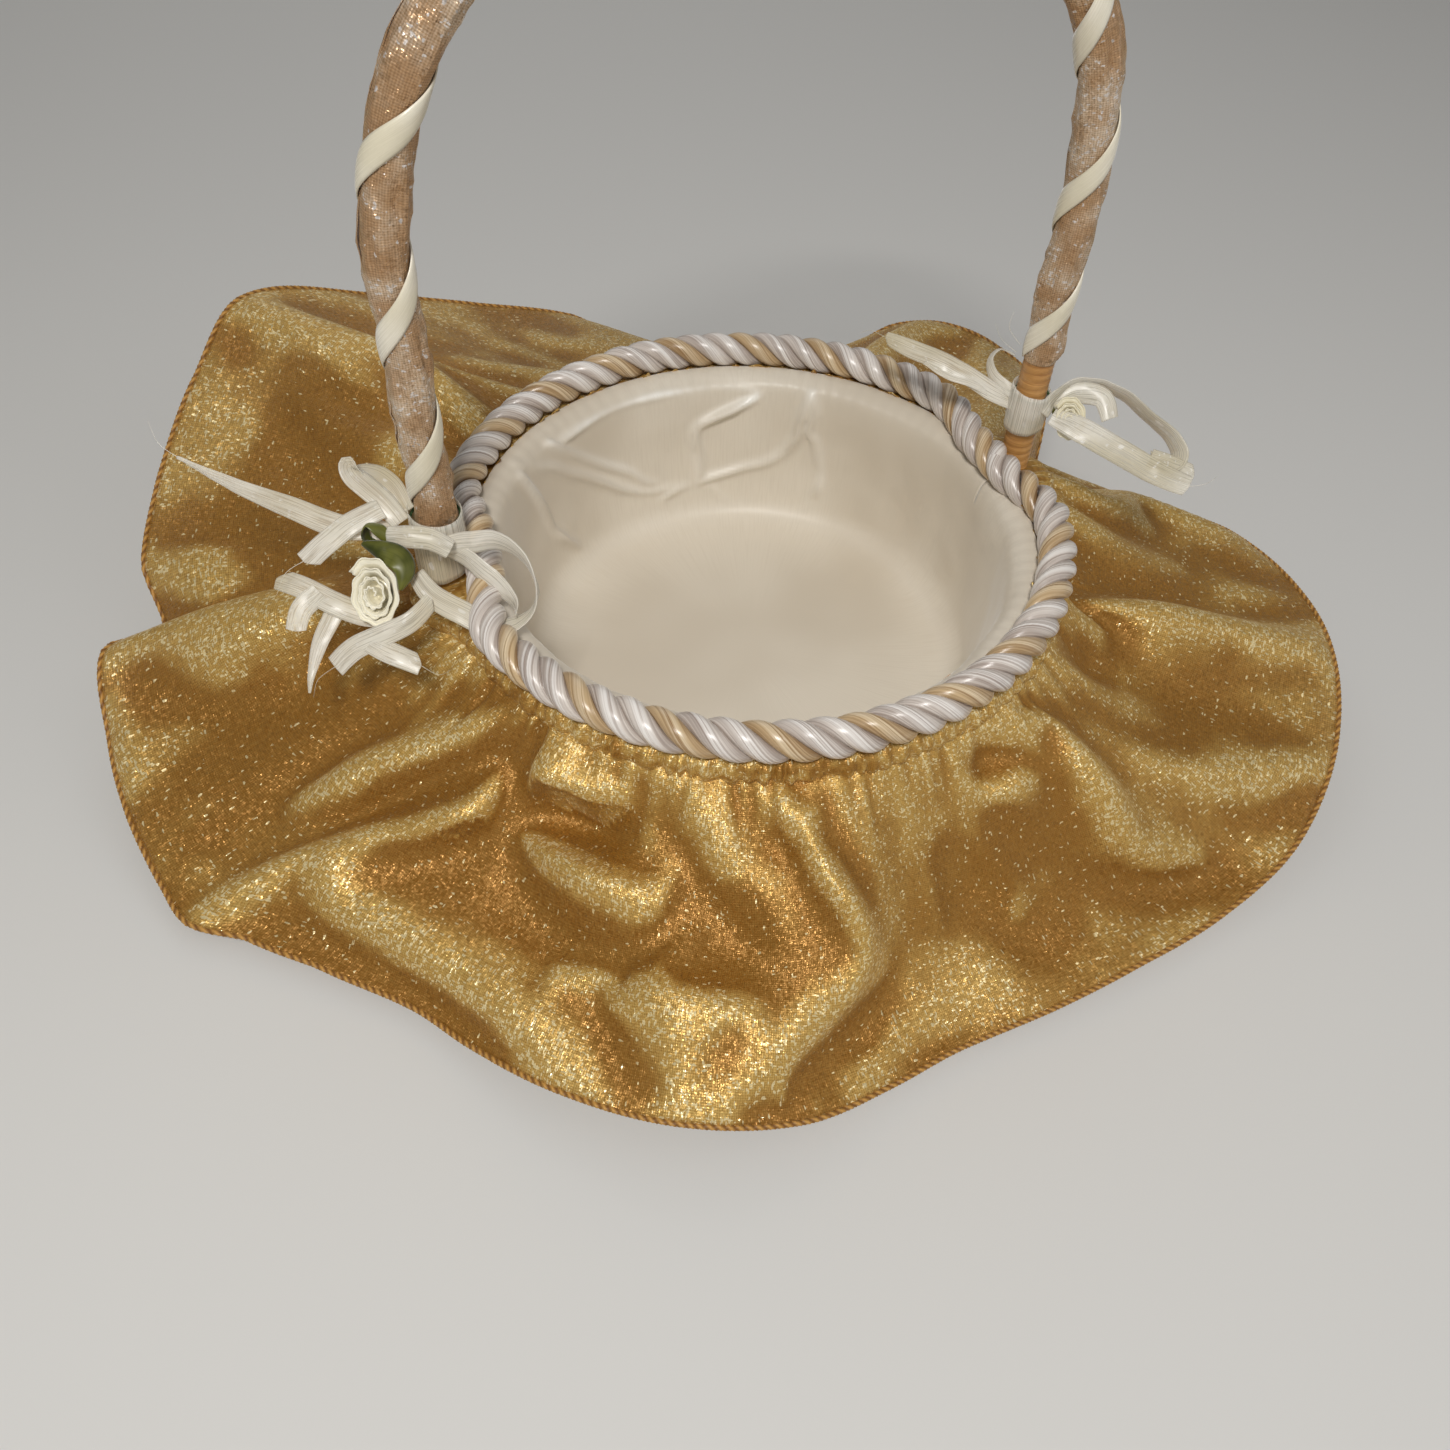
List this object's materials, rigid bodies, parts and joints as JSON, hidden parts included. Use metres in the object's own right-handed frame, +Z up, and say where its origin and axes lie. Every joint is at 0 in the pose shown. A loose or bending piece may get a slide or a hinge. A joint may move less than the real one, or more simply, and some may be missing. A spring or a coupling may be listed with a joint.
{
  "type": "flower girl basket",
  "caption": "Small round satin-lined wicker basket with a wrapped arched handle, a twisted cord rim, ribbon bows with rosebuds and a wide gathered organza ruffle.",
  "frame": {"origin": "centre of the foot ring's underside, on the surface the basket stands on", "axes": "+Z up; the handle's arch stands parallel to the XZ plane, and its right leg, bare at its foot, is on the +X side; -Y faces whoever looks into the basket"},
  "size_m": [0.3402, 0.306, 0.2201],
  "materials": {
    "bent_wood": "bare steam-bent wood",
    "rattan": "natural rattan, unvarnished",
    "cane": "split cane with its glossy skin",
    "brass_tacks": "plated wire nails",
    "card": "grey board",
    "wadding": "loose polyester wadding",
    "satin_lining": "ivory polyester satin, soft sheen",
    "white_cord": "lustrous rayon cord, lilac white",
    "champagne_cord": "lustrous rayon cord, champagne gold",
    "gold_organza": "sheer metallic organza",
    "gold_hem": "rolled overlocked hem",
    "iridescent_organza": "sheer organza with a pink and silver glint",
    "ivory_ribbon": "narrow satin ribbon",
    "rosebud_satin": "folded satin",
    "leaf_satin": "dark green satin",
    "florist_wire": "paper-covered wire"
  },
  "bodies": {
    "root": {"foot_ring": "bent_wood", "base_board": "bent_wood", "base_tacks": "brass_tacks", "stakes": "rattan", "weavers": "rattan", "rim_hoop_inner": "bent_wood", "rim_hoop_outer": "bent_wood", "rim_lashings": "cane", "handle_core": "rattan", "handle_cane_binding": "cane", "handle_organza_wrap": "iridescent_organza", "handle_satin_wrap": "ivory_ribbon", "handle_brads": "brass_tacks", "handle_ties": "cane", "floor_card": "card", "floor_pad": "wadding", "lining_floor": "satin_lining", "lining_wall": "satin_lining", "rope_strand_white_a": "white_cord", "rope_strand_white_b": "white_cord", "rope_strand_gold": "champagne_cord", "ruffle_heading": "gold_organza", "ruffle": "gold_organza", "ruffle_hem": "gold_hem", "left_bow_band": "ivory_ribbon", "left_bow_loops": "ivory_ribbon", "left_bow_tails": "ivory_ribbon", "left_rosebud": "rosebud_satin", "left_leaves": "leaf_satin", "left_bow_wire": "florist_wire", "right_bow_band": "ivory_ribbon", "right_bow_loops": "ivory_ribbon", "right_bow_tails": "ivory_ribbon", "right_rosebud": "rosebud_satin", "right_leaves": "leaf_satin", "right_bow_wire": "florist_wire"}
  },
  "joints": []
}
